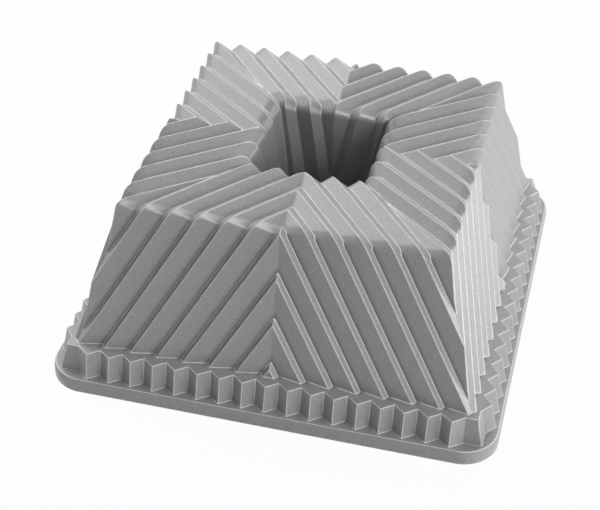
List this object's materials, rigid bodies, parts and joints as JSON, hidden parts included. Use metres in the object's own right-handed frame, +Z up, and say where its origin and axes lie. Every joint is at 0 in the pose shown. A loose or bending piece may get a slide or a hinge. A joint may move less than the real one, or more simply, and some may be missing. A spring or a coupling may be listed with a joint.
{
  "type": "square ring cake pan",
  "caption": "Square cast-aluminium ring cake pan, turned upside down, with chevron-pleated walls, crown and open centre tube, a zigzag collar and a flat rim.",
  "frame": {"origin": "middle of the plane that the rim rests on, pan upside down", "axes": "+Z up through the centre tube, towards the crown; -Y towards the front side"},
  "size_m": [0.233, 0.233, 0.1012],
  "materials": {
    "silver_coat": "matte sparkling silver coat, baked on over cast aluminium"
  },
  "bodies": {
    "root": {"wall_front": "silver_coat", "wall_right": "silver_coat", "wall_back": "silver_coat", "wall_left": "silver_coat", "crown_front": "silver_coat", "crown_right": "silver_coat", "crown_back": "silver_coat", "crown_left": "silver_coat", "tube_front": "silver_coat", "tube_right": "silver_coat", "tube_back": "silver_coat", "tube_left": "silver_coat", "ledge_front": "silver_coat", "ledge_right": "silver_coat", "ledge_back": "silver_coat", "ledge_left": "silver_coat", "collar_front": "silver_coat", "collar_right": "silver_coat", "collar_back": "silver_coat", "collar_left": "silver_coat", "rim_front": "silver_coat", "rim_right": "silver_coat", "rim_back": "silver_coat", "rim_left": "silver_coat"}
  },
  "joints": []
}
